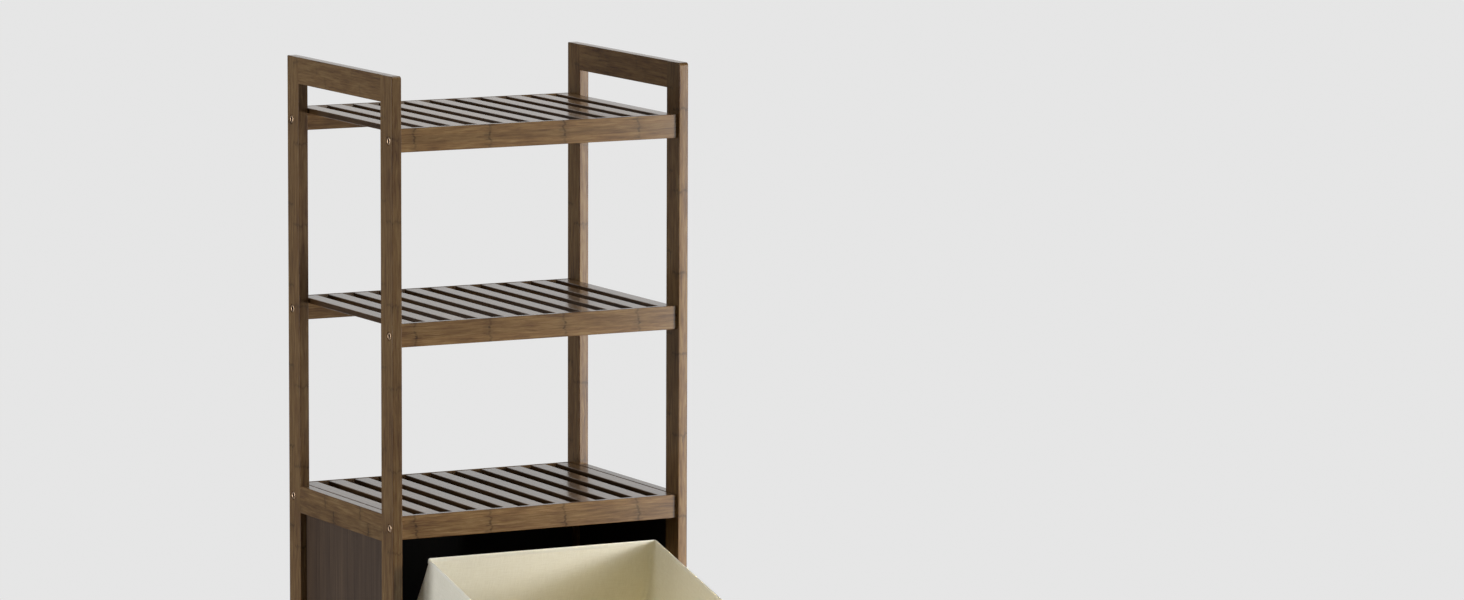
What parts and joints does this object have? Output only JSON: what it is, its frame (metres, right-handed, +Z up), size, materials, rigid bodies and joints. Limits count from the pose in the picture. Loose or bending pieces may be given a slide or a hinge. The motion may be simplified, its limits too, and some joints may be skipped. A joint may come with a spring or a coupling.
{
  "type": "laundry sorter cart",
  "caption": "Slatted bamboo shelf tower on swivel casters, with handle rails and a cabinet holding a tilt-out fabric laundry hamper.",
  "frame": {"origin": "on the floor under the middle of the cabinet's footprint", "axes": "+Z up, +X to the right as seen from the front, -Y out of the front, where the hamper opens"},
  "size_m": [0.4, 0.5608, 1.25],
  "materials": {
    "walnut_bamboo": "walnut-stained bamboo under a glossy lacquer",
    "dark_board": "dark stained thin board, vertical grain, satin",
    "bag_fabric": "cream plain-weave cotton blend, matt",
    "webbing": "dark brown woven webbing",
    "bronze": "antique bronze plated steel",
    "fastener_steel": "zinc plated",
    "coated_wire": "cream powder coat",
    "nylon": "natural nylon",
    "rubber_pad": "soft, matt",
    "caster_metal": "bright zinc",
    "wheel_rubber": "grey thermoplastic rubber",
    "pedal_plastic": "moulded, fine texture"
  },
  "bodies": {
    "tower": {"front_left_post": "walnut_bamboo", "front_right_post": "walnut_bamboo", "rear_left_post": "walnut_bamboo", "rear_right_post": "walnut_bamboo", "left_handle_rail": "walnut_bamboo", "right_handle_rail": "walnut_bamboo", "left_upper_side_rail": "walnut_bamboo", "right_upper_side_rail": "walnut_bamboo", "left_lower_side_rail": "walnut_bamboo", "right_lower_side_rail": "walnut_bamboo", "left_side_panel": "dark_board", "right_side_panel": "dark_board", "back_panel": "dark_board", "top_shelf_front_rail": "walnut_bamboo", "top_shelf_rear_rail": "walnut_bamboo", "top_shelf_slats": "walnut_bamboo", "middle_shelf_front_rail": "walnut_bamboo", "middle_shelf_rear_rail": "walnut_bamboo", "middle_shelf_slats": "walnut_bamboo", "cabinet_top_front_rail": "walnut_bamboo", "cabinet_top_rear_rail": "walnut_bamboo", "cabinet_top_slats": "walnut_bamboo", "bottom_front_rail": "walnut_bamboo", "bottom_rear_rail": "walnut_bamboo", "bottom_board": "dark_board", "caster_blocks": "walnut_bamboo", "frame_bolts": "bronze", "barrel_nuts": "fastener_steel", "hinge_pins": "fastener_steel", "stop_cleats": "walnut_bamboo", "bumper_pads": "rubber_pad", "left_check_strap": "webbing", "right_check_strap": "webbing", "caster_plates": "caster_metal", "caster_screws": "fastener_steel"},
    "hamper": {"left_door_stile": "walnut_bamboo", "right_door_stile": "walnut_bamboo", "door_top_rail": "walnut_bamboo", "door_bottom_rail": "walnut_bamboo", "door_panel": "dark_board", "door_knob": "walnut_bamboo", "hinge_bushes": "nylon", "rim_wire": "coated_wire", "rim_sockets": "coated_wire", "bag_back_panel": "bag_fabric", "bag_front_panel": "bag_fabric", "bag_left_panel": "bag_fabric", "bag_right_panel": "bag_fabric", "bag_base_panel": "bag_fabric"},
    "front_left_caster": {"front_left_fork": "caster_metal"},
    "front_left_wheel": {"front_left_wheel": "wheel_rubber"},
    "front_right_caster": {"front_right_fork": "caster_metal"},
    "front_right_wheel": {"front_right_wheel": "wheel_rubber"},
    "rear_left_caster": {"rear_left_fork": "caster_metal"},
    "rear_left_wheel": {"rear_left_wheel": "wheel_rubber"},
    "rear_right_caster": {"rear_right_fork": "caster_metal"},
    "rear_right_wheel": {"rear_right_wheel": "wheel_rubber"},
    "left_brake_pedal": {"left_brake_pedal": "pedal_plastic"},
    "right_brake_pedal": {"right_brake_pedal": "pedal_plastic"}
  },
  "joints": [
    {"name": "hamper_tilt", "type": "hinge", "parent": "tower", "child": "hamper", "pos_m": [0, -0.1375, 0.098], "axis": [1, 0, 0], "range_deg": [-26, 0], "deforming": ["left_check_strap", "right_check_strap"]},
    {"name": "front_left_swivel", "type": "hinge", "parent": "tower", "child": "front_left_caster", "pos_m": [-0.1655, -0.113, 0.05], "axis": [0, 0, 1], "continuous": true},
    {"name": "front_left_wheel_spin", "type": "hinge", "parent": "front_left_caster", "child": "front_left_wheel", "pos_m": [-0.1655, -0.099, 0.02], "axis": [1, 0, 0], "continuous": true},
    {"name": "front_right_swivel", "type": "hinge", "parent": "tower", "child": "front_right_caster", "pos_m": [0.1655, -0.113, 0.05], "axis": [0, 0, 1], "continuous": true},
    {"name": "front_right_wheel_spin", "type": "hinge", "parent": "front_right_caster", "child": "front_right_wheel", "pos_m": [0.1655, -0.099, 0.02], "axis": [1, 0, 0], "continuous": true},
    {"name": "rear_left_swivel", "type": "hinge", "parent": "tower", "child": "rear_left_caster", "pos_m": [-0.1655, 0.113, 0.05], "axis": [0, 0, 1], "continuous": true},
    {"name": "rear_left_wheel_spin", "type": "hinge", "parent": "rear_left_caster", "child": "rear_left_wheel", "pos_m": [-0.1655, 0.127, 0.02], "axis": [1, 0, 0], "continuous": true},
    {"name": "rear_right_swivel", "type": "hinge", "parent": "tower", "child": "rear_right_caster", "pos_m": [0.1655, 0.113, 0.05], "axis": [0, 0, 1], "continuous": true},
    {"name": "rear_right_wheel_spin", "type": "hinge", "parent": "rear_right_caster", "child": "rear_right_wheel", "pos_m": [0.1655, 0.127, 0.02], "axis": [1, 0, 0], "continuous": true},
    {"name": "left_brake", "type": "hinge", "parent": "front_left_caster", "child": "left_brake_pedal", "pos_m": [-0.1655, -0.099, 0.02], "axis": [-1, 0, 0], "range_deg": [0, 18]},
    {"name": "right_brake", "type": "hinge", "parent": "front_right_caster", "child": "right_brake_pedal", "pos_m": [0.1655, -0.099, 0.02], "axis": [-1, 0, 0], "range_deg": [0, 18]}
  ]
}
